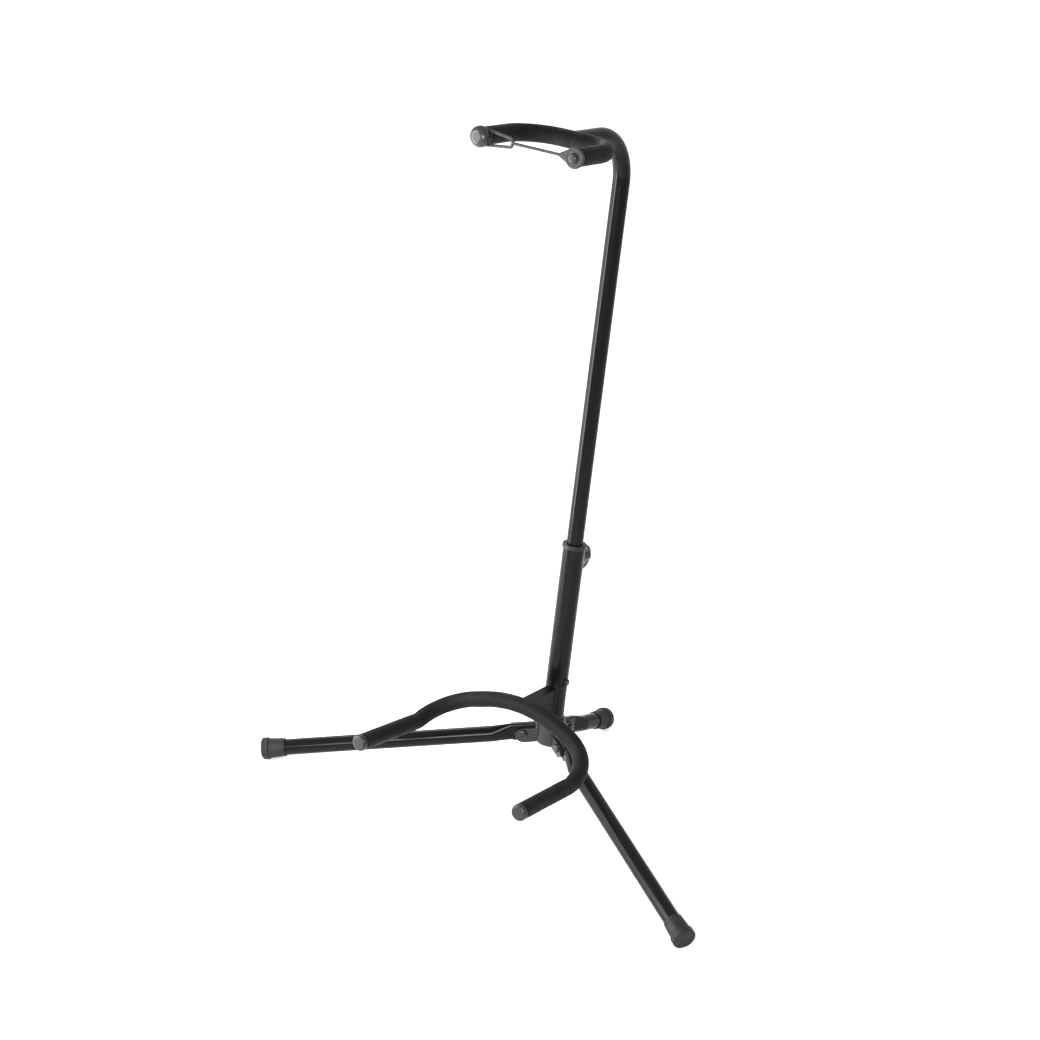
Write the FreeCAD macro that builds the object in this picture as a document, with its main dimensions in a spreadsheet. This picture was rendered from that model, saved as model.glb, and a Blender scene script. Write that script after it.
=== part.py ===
import FreeCAD, Part
import math
import os
import re
import Sketcher

# Tubular guitar stand: a tripod base with three folding legs, a leaning two-part mast that
# telescopes, a padded cradle for the guitar's body and a padded yoke for its neck.
#
# Frame: +Z up, the guitar faces -Y, millimetres.  The origin is on the floor at the centre of the
# stand's outline.  "Left" is -X, the left hand of somebody who faces the stand.
#
# Three local frames carry the pieces:
#   mast frame  origin at the hub centre, Z up the leaning mast, -Y forward, X to the right
#   leg frames  origin at the hub centre, Z out along the leg, Y upward, X across the leg
#   clamp frame origin on the mast axis, Z straight back from the mast, Y up the mast

V = FreeCAD.Vector
doc = FreeCAD.newDocument("GuitarStand")
sheet = doc.addObject("Spreadsheet::Sheet", "Dims")

DIMENSIONS = [
    # overall layout
    ("hub_height", 58.6, "floor to the hub centre"),
    ("mast_tilt", 10.9, "backward lean of the mast, degrees"),
    ("front_leg_turn", 59.3, "front legs' direction from straight ahead, degrees"),
    ("front_leg_reach", 340, "hub centre to the end of a front foot, level"),
    ("rear_leg_reach", 115.4, "hub centre to the end of the rear foot, level"),
    ("foot_sink", 2, "rubber cut away under the centre of a foot's end"),
    # clearances
    ("snug_gap", 0.05, "radial clearance of a fixed or running fit"),
    ("side_gap", 0.3, "clearance at the side of a moving piece"),
    # hub
    ("boss_wall", 3.8, "hub boss around the lower mast tube"),
    ("boss_below", 16, "hub boss below its centre"),
    ("boss_above", 16, "hub boss above its centre"),
    ("boss_round", 5, "rounding of the boss's lower rim"),
    ("seat_depth", 10, "depth of the mast tube in the boss"),
    ("spigot_top", 72, "top of the hub's spigot in the mast tube"),
    ("pivot_out", 32, "hub centre to a leg rivet, along the leg"),
    ("pivot_up", 1.5, "leg rivet above the leg axis"),
    ("ear_wall", 2.5, "thickness of a clevis ear"),
    ("ear_root", 2.9, "depth of an ear's root in the boss wall"),
    ("ear_below", 10.5, "clevis ear below the leg axis"),
    ("ear_above", 8, "clevis ear above the leg axis"),
    # legs
    ("leg_od", 19, "leg tube diameter"),
    ("leg_wall", 1.2, "leg tube wall"),
    ("tongue_wide", 8, "thickness of the flattened leg end"),
    ("tongue_high", 22, "height of the flattened leg end"),
    ("tongue_lift", 1.5, "middle of the flattened end above the leg axis"),
    ("tongue_round", 2.6, "rounding along the flattened end"),
    ("heel_relief", 9, "slant under the heel of the flattened end"),
    ("heel_low", 3, "lower edge of the heel above the leg axis"),
    ("tongue_long", 13, "flat part of the leg end beyond its rivet"),
    ("crimp_long", 24, "length of the change from flat to round"),
    ("rivet_od", 6, "leg rivet shank diameter"),
    ("rivet_head_od", 11, "leg rivet head diameter"),
    ("rivet_head_high", 2.6, "leg rivet head height"),
    # feet
    ("foot_long", 28, "rubber foot length"),
    ("foot_wall", 1.1, "rubber wall at a foot's mouth"),
    ("tread_wall", 3.5, "rubber wall at a foot's end"),
    ("foot_tread", 8, "length of the thick end of a foot"),
    ("foot_flare", 1.1, "flare of the foot's sleeve"),
    ("foot_step", 1.2, "length of the step up to the tread"),
    ("foot_floor", 3, "rubber beyond the tube's end"),
    ("foot_round", 2.2, "rounding of the foot's end"),
    # mast
    ("lower_od", 25.4, "lower mast tube diameter"),
    ("lower_wall", 1.6, "lower mast tube wall"),
    ("lower_top", 227.5, "top of the lower mast tube"),
    ("upper_wall", 1.2, "upper mast tube wall"),
    ("upper_bottom", 152, "lower end of the upper mast tube"),
    ("neck_radius", 54, "bend radius of the gooseneck"),
    ("neck_height", 693, "height of the gooseneck along the mast"),
    ("guide_long", 12, "length of the guide ring"),
    ("guide_lip", 3, "guide ring below the upper tube"),
    ("bush_wall", 1.5, "collar bush wall between the mast tubes"),
    ("bush_lip_over", 1.3, "collar bush lip beyond the lower mast tube"),
    ("bush_lip_high", 5, "collar bush lip height"),
    ("bush_round", 1.5, "rounding of the collar bush's lip"),
    ("bush_deep", 10, "collar bush inside the tube"),
    ("pin_up", 65, "mast rivet above the hub centre"),
    ("pin_od", 4, "mast rivet shank diameter"),
    ("pin_head_od", 8.4, "mast rivet head diameter"),
    ("pin_head_high", 2.4, "mast rivet head height"),
    # clamp
    ("clamp_up", 211, "clamp screw above the hub centre"),
    ("clamp_boss_od", 16, "welded nut diameter"),
    ("clamp_boss_out", 18, "face of the welded nut from the mast axis"),
    ("clamp_boss_round", 1.2, "rounding of the welded nut's face"),
    ("screw_od", 6, "clamp screw diameter"),
    ("screw_tip_gap", 0.3, "slack between the screw and the upper tube"),
    ("knob_gap", 2.2, "welded nut to the knob"),
    ("knob_core_od", 13, "knob core diameter"),
    ("knob_core_long", 8, "knob core length"),
    ("knob_span", 30, "knob paddle, side to side"),
    ("knob_reach", 14, "knob paddle, front to back"),
    ("knob_thick", 6.5, "knob paddle thickness"),
    ("knob_round", 2, "rounding of the knob paddle"),
    # cradle and yoke bars
    ("bar_od", 12.7, "cradle and yoke tube diameter"),
    ("bar_wall", 1.2, "cradle and yoke tube wall"),
    ("foam_od", 18.8, "foam sleeve diameter"),
    ("foam_gap", 0.3, "foam sleeve clearance on its tube"),
    # cradle, along the mast frame
    ("cradle_out", 64.5, "mast axis to the middle of the cradle bar"),
    ("cradle_up", 50.7, "hub centre to the middle of the cradle bar"),
    ("arch_radius", 153, "bend radius over the arch of the cradle"),
    ("arch_slope", 19.4, "slope of the arch's flanks, degrees"),
    ("arch_lean", 14.4, "forward lean of the arch from square, degrees"),
    ("shoulder_half", 101.3, "half width at the shoulders"),
    ("shoulder_radius", 51.7, "bend radius at the shoulders"),
    ("arm_root_half", 105.2, "half width at the root of the arms"),
    ("arm_root_out", 117.3, "mast axis to the root of the arms"),
    ("arm_root_up", 11.6, "height of the root of the arms"),
    ("arm_root_radius", 31.7, "bend radius at the root of the arms"),
    ("arm_tip_half", 107.7, "half width at the arm tips"),
    ("arm_tip_out", 217, "mast axis to the end of the arm tubes"),
    ("arm_tip_up", 17, "height of the arm tips"),
    ("bracket_wide", 14, "width of the cradle bracket"),
    ("bracket_wall", 2, "sheet of the cradle bracket"),
    ("bracket_foot", 29, "lower corner of the bracket on the mast"),
    ("bar_seat_gap", 0.25, "bracket saddle's clearance on the curved bar"),
    ("sleeve_gap", 0.5, "bracket or gooseneck to the foam cut out around it"),
    ("sleeve_seam", 0.3, "gap where two sleeves meet in the middle"),
    ("cap_long", 5, "length of a cradle end cap beyond its tube"),
    ("cap_plug", 10, "end cap's stem inside its tube"),
    # yoke, along the mast frame
    ("yoke_half", 55.3, "half spacing of the yoke arms"),
    ("yoke_out", 100, "mast axis to the yoke bar"),
    ("yoke_tip_out", 178.5, "mast axis to the end of the yoke arms"),
    ("yoke_radius", 39.5, "bend radius of the yoke corners"),
    ("neck_pin_od", 12.8, "neck of the left knob, which the strap hooks on"),
    ("neck_pin_long", 4.6, "length of that neck"),
    ("dome_od", 22, "left knob diameter"),
    ("dome_high", 7.5, "left knob height"),
    ("button_od", 10, "right button diameter"),
    ("button_high", 3, "right button height"),
    ("flange_high", 1.4, "flange of an end plug"),
    # strap
    ("eyelet_od", 21, "strap eyelet diameter"),
    ("strap_thick", 3.4, "thickness of the strap"),
    ("strap_pin_od", 6, "pin through the eyelet"),
    ("cord_wide", 3, "width of the strap between its ends"),
    ("loop_half", 8.4, "centre of the loop's strands from the knob's axis"),
    ("loop_tail_half", 5.2, "half width of the loop's inner end"),
    ("loop_inner", 37, "knob's axis to the loop's inner end"),
    ("taper_long", 17, "eyelet centre to the end of its taper"),
]

for row, (name, number, note) in enumerate(DIMENSIONS, start=1):
    sheet.set(f"A{row}", name)
    sheet.set(f"B{row}", str(number))
    sheet.setAlias(f"B{row}", name)
    sheet.set(f"C{row}", note)
doc.recompute()

longest_first = sorted((name for name, number, note in DIMENSIONS), key=len, reverse=True)
NAMES = re.compile(r"\b(" + "|".join(longest_first) + r")\b")


def bound(text):
    """Turn a formula in the sheet's names into an expression of the document."""
    return NAMES.sub(r"Dims.\1", text)


def size(text):
    """Value of a formula in the sheet's names."""
    return float(sheet.evalExpression(bound(text)))


# ---------------------------------------------------------------- derived formulas

LOWER_BORE = "(lower_od / 2 - lower_wall)"
UPPER_R = f"({LOWER_BORE} - bush_wall - 2 * snug_gap)"
LIP_R = "(lower_od / 2 + bush_lip_over)"
BOSS_R = "(lower_od / 2 + boss_wall)"
LEG_R = "(leg_od / 2)"
MOUTH_R = f"({LEG_R} + foot_wall)"
TREAD_R = f"({LEG_R} + tread_wall)"
FOOT_END_HEIGHT = f"({TREAD_R} - foot_sink)"
BAR_R = "(bar_od / 2)"
SLOT = "(tongue_wide + 2 * side_gap)"
REACH = {"left": "front_leg_reach", "right": "front_leg_reach", "rear": "rear_leg_reach"}


def drop_angle(side):
    """Slope of a leg below the level, in degrees."""
    return f"atan((hub_height - {FOOT_END_HEIGHT}) / {REACH[side]})"


def leg_end(side):
    """Hub centre to the end of a foot, along the leg."""
    return f"({REACH[side]} / cos({drop_angle(side)}))"


# ---------------------------------------------------------------- frames

TILT = size("mast_tilt")
HUB = V(0, 0, size("hub_height"))
MAST = FreeCAD.Placement(HUB, FreeCAD.Rotation(V(1, 0, 0), -TILT))


def leg_frame(side):
    turn = {"left": -size("front_leg_turn"), "right": size("front_leg_turn"), "rear": 180}[side]
    drop = math.radians(size(drop_angle(side)))
    level = V(math.sin(math.radians(turn)), -math.cos(math.radians(turn)), 0)
    along = level * math.cos(drop) - V(0, 0, math.sin(drop))
    upward = level * math.sin(drop) + V(0, 0, math.cos(drop))
    across = upward.cross(along)
    return FreeCAD.Placement(HUB, FreeCAD.Rotation(across, upward, along, "ZYX"))


LEGS = {side: leg_frame(side) for side in ("left", "right", "rear")}
# A hub sketch lies in its leg's own upright plane: its X runs out along the leg, its Y upward.
LEG_PLANE = FreeCAD.Rotation(V(0, 0, 1), V(0, 1, 0), V(-1, 0, 0), "ZYX")
UPRIGHT = {side: MAST.inverse() * frame * FreeCAD.Placement(V(0, 0, 0), LEG_PLANE)
           for side, frame in LEGS.items()}
BACKWARD = FreeCAD.Rotation(V(-1, 0, 0), V(0, 0, 1), V(0, 1, 0), "ZYX")
CLAMP = MAST * FreeCAD.Placement(V(0, 0, size("clamp_up")), BACKWARD)
SIDEWAYS = FreeCAD.Rotation(V(0, 1, 0), V(0, 0, 1), V(1, 0, 0), "ZYX")
FORWARD = FreeCAD.Rotation(V(1, 0, 0), V(0, 0, 1), V(0, -1, 0), "ZYX")
YOKE = MAST * FreeCAD.Placement(V(0, 0, size("neck_height")), FreeCAD.Rotation())

pieces = {}


def keep(label, obj, placement):
    obj.Label = label
    obj.Placement = placement
    pieces[label] = obj
    return obj


# ---------------------------------------------------------------- sketch helpers

def new_body(label):
    return doc.addObject("PartDesign::Body", label + "_body")


def origin_plane(body, role):
    return next(f for f in body.Origin.OriginFeatures if f.Role == role)


def new_sketch(body, name, role, lift=None, turn=None):
    sketch = body.newObject("Sketcher::SketchObject", name)
    sketch.AttachmentSupport = [(origin_plane(body, role), "")]
    sketch.MapMode = "FlatFace"
    if turn is not None:
        sketch.AttachmentOffset = turn
    if lift is not None:
        sketch.setExpression(".AttachmentOffset.Base.z", bound(lift))
    return sketch


def pin(sketch, index, end, x, y):
    """Hold a point at (x, y) from the sketch's origin, both formulas."""
    for kind, axis, text in (("DistanceX", -2, x), ("DistanceY", -1, y)):
        if text == "0":
            sketch.addConstraint(Sketcher.Constraint("PointOnObject", index, end, axis))
        else:
            rule = sketch.addConstraint(Sketcher.Constraint(kind, -1, 1, index, end, size(text)))
            sketch.setExpression(f"Constraints[{rule}]", bound(text))


def add_polygon(sketch, corners):
    """Closed outline through corners given as pairs of formulas."""
    places = [V(size(x), size(y), 0) for x, y in corners]
    first = sketch.GeometryCount
    count = len(places)
    for i in range(count):
        sketch.addGeometry(Part.LineSegment(places[i], places[(i + 1) % count]))
    for i in range(count):
        following = first + (i + 1) % count
        sketch.addConstraint(Sketcher.Constraint("Coincident", first + i, 2, following, 1))
    for i, (x, y) in enumerate(corners):
        pin(sketch, first + i, 1, x, y)


def add_circle(sketch, radius, x="0", y="0"):
    index = sketch.addGeometry(Part.Circle(V(size(x), size(y), 0), V(0, 0, 1), size(radius)))
    rule = sketch.addConstraint(Sketcher.Constraint("Radius", index, size(radius)))
    sketch.setExpression(f"Constraints[{rule}]", bound(radius))
    pin(sketch, index, 3, x, y)


def add_oval(sketch, tall, wide):
    """Ellipse about the origin, its long axis upright."""
    index = sketch.addGeometry(Part.Ellipse(V(0, size(tall) / 2, 0), V(size(wide) / 2, 0, 0), V(0, 0, 0)))
    sketch.exposeInternalGeometry(index)
    sketch.addConstraint(Sketcher.Constraint("Coincident", index, 3, -1, 1))
    sketch.addConstraint(Sketcher.Constraint("PointOnObject", index + 1, 1, -2))
    for line, text in ((index + 1, tall), (index + 2, wide)):
        rule = sketch.addConstraint(Sketcher.Constraint("Distance", line, size(text)))
        sketch.setExpression(f"Constraints[{rule}]", bound(text))


def add_path(sketch, lines):
    """Open path of straight runs, each (start, end), joined by tangent arcs."""
    for start, end in lines:
        index = sketch.addGeometry(Part.LineSegment(*[V(size(x), size(y), 0) for x, y in (start, end)]))
        pin(sketch, index, 1, *start)
        pin(sketch, index, 2, *end)
    for before in range(len(lines) - 1):
        first, second = sketch.Geometry[before], sketch.Geometry[before + 1]
        a, b = first.EndPoint, second.StartPoint
        into = (a - first.StartPoint).normalize()
        out = (second.EndPoint - b).normalize()
        bend = into.getAngle(out)
        inward = (b - a - into * (b - a).dot(into)).normalize()
        radius = (b - a).Length / (2 * math.sin(bend / 2))
        middle = a + into * radius * math.sin(bend / 2) + inward * radius * (1 - math.cos(bend / 2))
        anticlockwise = into.cross(out).z > 0
        head, tail = (1, 2) if anticlockwise else (2, 1)
        index = sketch.addGeometry(Part.Arc(a, middle, b) if anticlockwise else Part.Arc(b, middle, a))
        sketch.addConstraint(Sketcher.Constraint("Tangent", before, 2, index, head))
        sketch.addConstraint(Sketcher.Constraint("Coincident", before + 1, 1, index, tail))


# ---------------------------------------------------------------- feature helpers

def revolve(body, name, corners):
    sketch = new_sketch(body, name + "_profile", "XZ_Plane")
    add_polygon(sketch, corners)
    turned = body.newObject("PartDesign::Revolution", name)
    turned.Profile = sketch
    turned.ReferenceAxis = (sketch, ["V_Axis"])
    turned.Angle = 360
    doc.recompute()
    return turned


def pad(body, name, sketch, length, midplane=False):
    feature = body.newObject("PartDesign::Pad", name)
    feature.Profile = sketch
    feature.setExpression("Length", bound(length))
    if midplane:
        feature.SideType = "Symmetric"
    doc.recompute()
    return feature


def pocket(body, name, sketch, length, midplane=True, flipped=False):
    before = body.Shape.Volume
    feature = body.newObject("PartDesign::Pocket", name)
    feature.Profile = sketch
    feature.setExpression("Length", bound(length))
    if midplane:
        feature.SideType = "Symmetric"
    feature.Reversed = flipped
    doc.recompute()
    if body.Shape.Volume > before - 1e-3:
        raise ValueError(f"{name} removes nothing")
    return feature


def round_edges(body, name, radius, wanted):
    """Fillet the edges of the body for which wanted(edge) is true."""
    tip = body.Tip
    edges = [f"Edge{i}" for i, e in enumerate(tip.Shape.Edges, start=1) if wanted(e)]
    if not edges:
        raise ValueError(f"{name} finds no edge")
    feature = body.newObject("PartDesign::Fillet", name)
    feature.Base = (tip, edges)
    feature.setExpression("Radius", bound(radius))
    doc.recompute()
    return feature


def rim(radius, height):
    """Test for a full circle about the local Z axis."""
    r, z = size(radius), size(height)

    def wanted(edge):
        curve = edge.Curve
        if not isinstance(curve, Part.Circle):
            return False
        box = edge.BoundBox
        return abs(curve.Radius - r) < 1e-4 and abs(box.ZMin - z) < 1e-4 and abs(box.ZMax - z) < 1e-4
    return wanted


def side_edge(half):
    """Test for a straight edge along the local Z axis at a distance to one side."""
    x = size(half)

    def wanted(edge):
        box = edge.BoundBox
        return abs(abs(box.Center.x) - x) < 1e-4 and box.XLength < 1e-4 and box.YLength < 1e-4
    return wanted


def sweep(body, name, profile, path):
    feature = body.newObject("PartDesign::AdditivePipe", name)
    feature.Profile = profile
    feature.Spine = (path, [f"Edge{i + 1}" for i in range(len(path.Shape.Edges))])
    doc.recompute()
    return feature


# ---------------------------------------------------------------- lower mast tube

lower = new_body("lower_tube")
LOWER_BOTTOM = "(boss_above - seat_depth)"
revolve(lower, "lower_wall_ring", [
    (LOWER_BORE, LOWER_BOTTOM),
    ("lower_od / 2", LOWER_BOTTOM),
    ("lower_od / 2", "lower_top"),
    (LOWER_BORE, "lower_top"),
])
screw_hole = new_sketch(lower, "screw_hole_sketch", "XZ_Plane")
add_circle(screw_hole, "screw_od / 2 + side_gap", "0", "clamp_up")
pocket(lower, "screw_hole", screw_hole, "lower_od", midplane=False)
pin_hole = new_sketch(lower, "pin_hole_sketch", "YZ_Plane")
add_circle(pin_hole, "pin_od / 2 + snug_gap", "0", "pin_up")
pocket(lower, "pin_hole", pin_hole, "lower_od", midplane=False, flipped=True)
keep("lower_tube", lower, MAST)

# ---------------------------------------------------------------- hub with three clevises

hub = new_body("hub")
SPIGOT_R = f"({LOWER_BORE} - snug_gap)"
SOCKET_R = "(lower_od / 2 + snug_gap)"
revolve(hub, "boss_and_spigot", [
    ("0", "-boss_below"),
    (BOSS_R, "-boss_below"),
    (BOSS_R, "boss_above"),
    (SOCKET_R, "boss_above"),
    (SOCKET_R, LOWER_BOTTOM),
    (SPIGOT_R, LOWER_BOTTOM),
    (SPIGOT_R, "spigot_top"),
    ("0", "spigot_top"),
])
round_edges(hub, "boss_lower_rim", "boss_round", rim(BOSS_R, "-boss_below"))
for side, upright in UPRIGHT.items():
    arm = new_sketch(hub, f"{side}_ear_sketch", "XY_Plane", turn=upright)
    add_polygon(arm, [
        (f"{BOSS_R} - ear_root", "-ear_below"),
        ("pivot_out", "-ear_below"),
        ("pivot_out", "ear_above"),
        (f"{BOSS_R} - ear_root", "ear_above"),
    ])
    pad(hub, f"{side}_ear_block", arm, f"{SLOT} + 2 * ear_wall", midplane=True)
    eye = new_sketch(hub, f"{side}_eye_sketch", "XY_Plane", turn=upright)
    add_circle(eye, "(ear_below + ear_above) / 2", "pivot_out", "(ear_above - ear_below) / 2")
    pad(hub, f"{side}_eye", eye, f"{SLOT} + 2 * ear_wall", midplane=True)
for side, upright in UPRIGHT.items():
    slot = new_sketch(hub, f"{side}_slot_sketch", "XY_Plane", turn=upright)
    add_polygon(slot, [
        (f"{BOSS_R} + snug_gap", "-2 * ear_below"),
        ("2 * pivot_out", "-2 * ear_below"),
        ("2 * pivot_out", "2 * ear_below"),
        (f"{BOSS_R} + snug_gap", "2 * ear_below"),
    ])
    pocket(hub, f"{side}_slot", slot, SLOT)
    hole = new_sketch(hub, f"{side}_rivet_hole_sketch", "XY_Plane", turn=upright)
    add_circle(hole, "rivet_od / 2 + snug_gap", "pivot_out", "pivot_up")
    pocket(hub, f"{side}_rivet_hole", hole, f"4 * {BOSS_R}")
hub_pin_hole = new_sketch(hub, "spigot_pin_hole_sketch", "YZ_Plane")
add_circle(hub_pin_hole, "pin_od / 2 + snug_gap", "0", "pin_up")
pocket(hub, "spigot_pin_hole", hub_pin_hole, "lower_od", midplane=False, flipped=True)
keep("hub", hub, MAST)

# ---------------------------------------------------------------- mast rivet

pin_body = new_body("mast_rivet")
revolve(pin_body, "mast_rivet_turning", [
    ("0", "pin_od"),
    ("pin_od / 2", "pin_od"),
    ("pin_od / 2", "lower_od / 2"),
    ("pin_head_od / 2", "lower_od / 2"),
    ("pin_head_od / 2", "lower_od / 2 + pin_head_high"),
    ("0", "lower_od / 2 + pin_head_high"),
])
round_edges(pin_body, "mast_rivet_dome", "pin_head_high * 0.7",
            rim("pin_head_od / 2", "lower_od / 2 + pin_head_high"))
keep("mast_rivet", pin_body, MAST * FreeCAD.Placement(V(0, 0, size("pin_up")), SIDEWAYS))

# ---------------------------------------------------------------- legs, rivets and feet

TONGUE_END = f"({BOSS_R} + snug_gap + side_gap)"
FLAT_END = "(pivot_out + tongue_long)"
ROUND_START = "(pivot_out + tongue_long + crimp_long)"
for side, frame in LEGS.items():
    tube_end = f"({leg_end(side)} - foot_floor)"
    leg = new_body(f"leg_{side}")
    start = new_sketch(leg, f"leg_{side}_round_sketch", "XY_Plane", lift=ROUND_START)
    add_circle(start, LEG_R)
    pad(leg, f"leg_{side}_round", start, f"{tube_end} - {ROUND_START}")
    wide = new_sketch(leg, f"leg_{side}_crimp_from", "XY_Plane", lift=ROUND_START)
    add_circle(wide, LEG_R)
    flat = new_sketch(leg, f"leg_{side}_crimp_to", "XY_Plane", lift=FLAT_END)
    flat.setExpression(".AttachmentOffset.Base.y", bound("tongue_lift"))
    add_oval(flat, "tongue_high", "tongue_wide")
    loft = leg.newObject("PartDesign::AdditiveLoft", f"leg_{side}_crimp")
    loft.Profile = wide
    loft.Sections = [flat]
    doc.recompute()
    tongue = new_sketch(leg, f"leg_{side}_tongue_sketch", "YZ_Plane")
    add_polygon(tongue, [
        ("tongue_lift - tongue_high / 2", FLAT_END),
        ("tongue_lift - tongue_high / 2", f"{TONGUE_END} + heel_relief"),
        ("heel_low", TONGUE_END),
        ("tongue_lift + tongue_high / 2", TONGUE_END),
        ("tongue_lift + tongue_high / 2", FLAT_END),
    ])
    pad(leg, f"leg_{side}_tongue", tongue, "tongue_wide", midplane=True)
    round_edges(leg, f"leg_{side}_tongue_edges", "tongue_round", side_edge("tongue_wide / 2"))
    bore = new_sketch(leg, f"leg_{side}_bore_sketch", "XY_Plane", lift=tube_end)
    add_circle(bore, f"{LEG_R} - leg_wall")
    pocket(leg, f"leg_{side}_bore", bore, f"{tube_end} - {ROUND_START}", midplane=False)
    eye = new_sketch(leg, f"leg_{side}_rivet_hole_sketch", "YZ_Plane")
    add_circle(eye, "rivet_od / 2 + snug_gap", "pivot_up", "pivot_out")
    pocket(leg, f"leg_{side}_rivet_hole", eye, "2 * tongue_wide")
    keep(f"leg_{side}", leg, frame)

    rivet = new_body(f"leg_rivet_{side}")
    grip = f"({SLOT} / 2 + ear_wall)"
    revolve(rivet, f"leg_rivet_{side}_turning", [
        ("0", f"-({grip} + rivet_head_high)"),
        ("rivet_head_od / 2", f"-({grip} + rivet_head_high)"),
        ("rivet_head_od / 2", f"-{grip}"),
        ("rivet_od / 2", f"-{grip}"),
        ("rivet_od / 2", grip),
        ("rivet_head_od / 2", grip),
        ("rivet_head_od / 2", f"{grip} + rivet_head_high"),
        ("0", f"{grip} + rivet_head_high"),
    ])
    for mark, sign in (("outer", ""), ("inner", "-")):
        round_edges(rivet, f"leg_rivet_{side}_{mark}_dome", "rivet_head_high * 0.8",
                    rim("rivet_head_od / 2", f"{sign}({grip} + rivet_head_high)"))
    pivot = V(0, size("pivot_up"), size("pivot_out"))
    keep(f"leg_rivet_{side}", rivet, frame * FreeCAD.Placement(pivot, SIDEWAYS))

    foot = new_body(f"foot_{side}")
    end = leg_end(side)
    revolve(foot, f"foot_{side}_boot", [
        ("0", tube_end),
        (f"{LEG_R} + snug_gap", tube_end),
        (f"{LEG_R} + snug_gap", f"{end} - foot_long"),
        (MOUTH_R, f"{end} - foot_long"),
        (f"{MOUTH_R} + foot_flare", f"{end} - foot_tread - foot_step"),
        (TREAD_R, f"{end} - foot_tread"),
        (TREAD_R, end),
        ("0", end),
    ])
    round_edges(foot, f"foot_{side}_end_round", "foot_round", rim(TREAD_R, end))
    # The rubber is worn flat where it meets the floor.
    drop = drop_angle(side)
    near, far = f"({end} - 2 * foot_long)", f"({end} + foot_long)"
    floor_cut = new_sketch(foot, f"foot_{side}_floor_sketch", "YZ_Plane")
    add_polygon(floor_cut, [
        (f"({near} * sin({drop}) - hub_height) / cos({drop})", near),
        (f"({far} * sin({drop}) - hub_height) / cos({drop})", far),
        ("-3 * hub_height", far),
        ("-3 * hub_height", near),
    ])
    pocket(foot, f"foot_{side}_floor", floor_cut, f"8 * {TREAD_R}")
    keep(f"foot_{side}", foot, frame)

# ---------------------------------------------------------------- collar bush and guide ring

bush = new_body("collar_bush")
revolve(bush, "collar_bush_turning", [
    (f"{UPPER_R} + snug_gap", "lower_top - bush_deep"),
    (f"{LOWER_BORE} - snug_gap", "lower_top - bush_deep"),
    (f"{LOWER_BORE} - snug_gap", "lower_top"),
    (LIP_R, "lower_top"),
    (LIP_R, "lower_top + bush_lip_high"),
    (f"{UPPER_R} + snug_gap", "lower_top + bush_lip_high"),
])
round_edges(bush, "collar_bush_rim", "bush_round", rim(LIP_R, "lower_top + bush_lip_high"))
keep("collar_bush", bush, MAST)

guide = new_body("tube_guide")
GUIDE_LOW = "(upper_bottom - guide_lip)"
revolve(guide, "tube_guide_turning", [
    (f"{UPPER_R} - upper_wall - snug_gap", GUIDE_LOW),
    (f"{LOWER_BORE} - snug_gap", GUIDE_LOW),
    (f"{LOWER_BORE} - snug_gap", f"{GUIDE_LOW} + guide_long"),
    (f"{UPPER_R} + snug_gap", f"{GUIDE_LOW} + guide_long"),
    (f"{UPPER_R} + snug_gap", "upper_bottom"),
    (f"{UPPER_R} - upper_wall - snug_gap", "upper_bottom"),
])
keep("tube_guide", guide, MAST)

# ---------------------------------------------------------------- clamp nut, screw and knob

nut = new_body("clamp_nut")
revolve(nut, "clamp_nut_turning", [
    ("screw_od / 2 + snug_gap", "0"),
    ("clamp_boss_od / 2", "0"),
    ("clamp_boss_od / 2", "clamp_boss_out"),
    ("screw_od / 2 + snug_gap", "clamp_boss_out"),
])
round_edges(nut, "clamp_nut_rim", "clamp_boss_round", rim("clamp_boss_od / 2", "clamp_boss_out"))
tube_cut = new_sketch(nut, "clamp_nut_saddle_sketch", "XZ_Plane")
add_circle(tube_cut, "lower_od / 2 + snug_gap")
pocket(nut, "clamp_nut_saddle", tube_cut, "4 * clamp_boss_od")
keep("clamp_nut", nut, CLAMP)

screw = new_body("clamp_screw")
SCREW_TIP = f"({UPPER_R} + screw_tip_gap)"
KNOB_FACE = "(clamp_boss_out + knob_gap)"
revolve(screw, "clamp_screw_turning", [
    ("0", SCREW_TIP),
    ("screw_od / 2", SCREW_TIP),
    ("screw_od / 2", f"{KNOB_FACE} + knob_core_long"),
    ("0", f"{KNOB_FACE} + knob_core_long"),
])
keep("clamp_screw", screw, CLAMP)

knob = new_body("clamp_knob")
paddle_r = "(knob_span / 2)"
paddle = new_sketch(knob, "knob_paddle_sketch", "YZ_Plane")
add_circle(paddle, paddle_r, "0", f"{KNOB_FACE} + knob_reach - {paddle_r}")
pad(knob, "knob_paddle", paddle, "knob_thick", midplane=True)
inner_side = new_sketch(knob, "knob_face_sketch", "YZ_Plane")
add_polygon(inner_side, [
    ("-knob_span", KNOB_FACE),
    ("knob_span", KNOB_FACE),
    ("knob_span", f"{KNOB_FACE} - knob_span"),
    ("-knob_span", f"{KNOB_FACE} - knob_span"),
])
pocket(knob, "knob_face", inner_side, "2 * knob_span")
round_edges(knob, "knob_paddle_round", "knob_round",
            lambda e: isinstance(e.Curve, Part.Circle) and abs(e.Curve.Radius - size(paddle_r)) < 1e-4)
core = new_sketch(knob, "knob_core_sketch", "XY_Plane", lift=KNOB_FACE)
add_circle(core, "knob_core_od / 2")
pad(knob, "knob_core", core, "knob_core_long")
thread = new_sketch(knob, "knob_thread_sketch", "XY_Plane", lift=f"{KNOB_FACE} + knob_core_long + snug_gap")
add_circle(thread, "screw_od / 2 + snug_gap")
pocket(knob, "knob_thread", thread, "knob_core_long + 2 * snug_gap", midplane=False)
keep("clamp_knob", knob, CLAMP)

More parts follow.
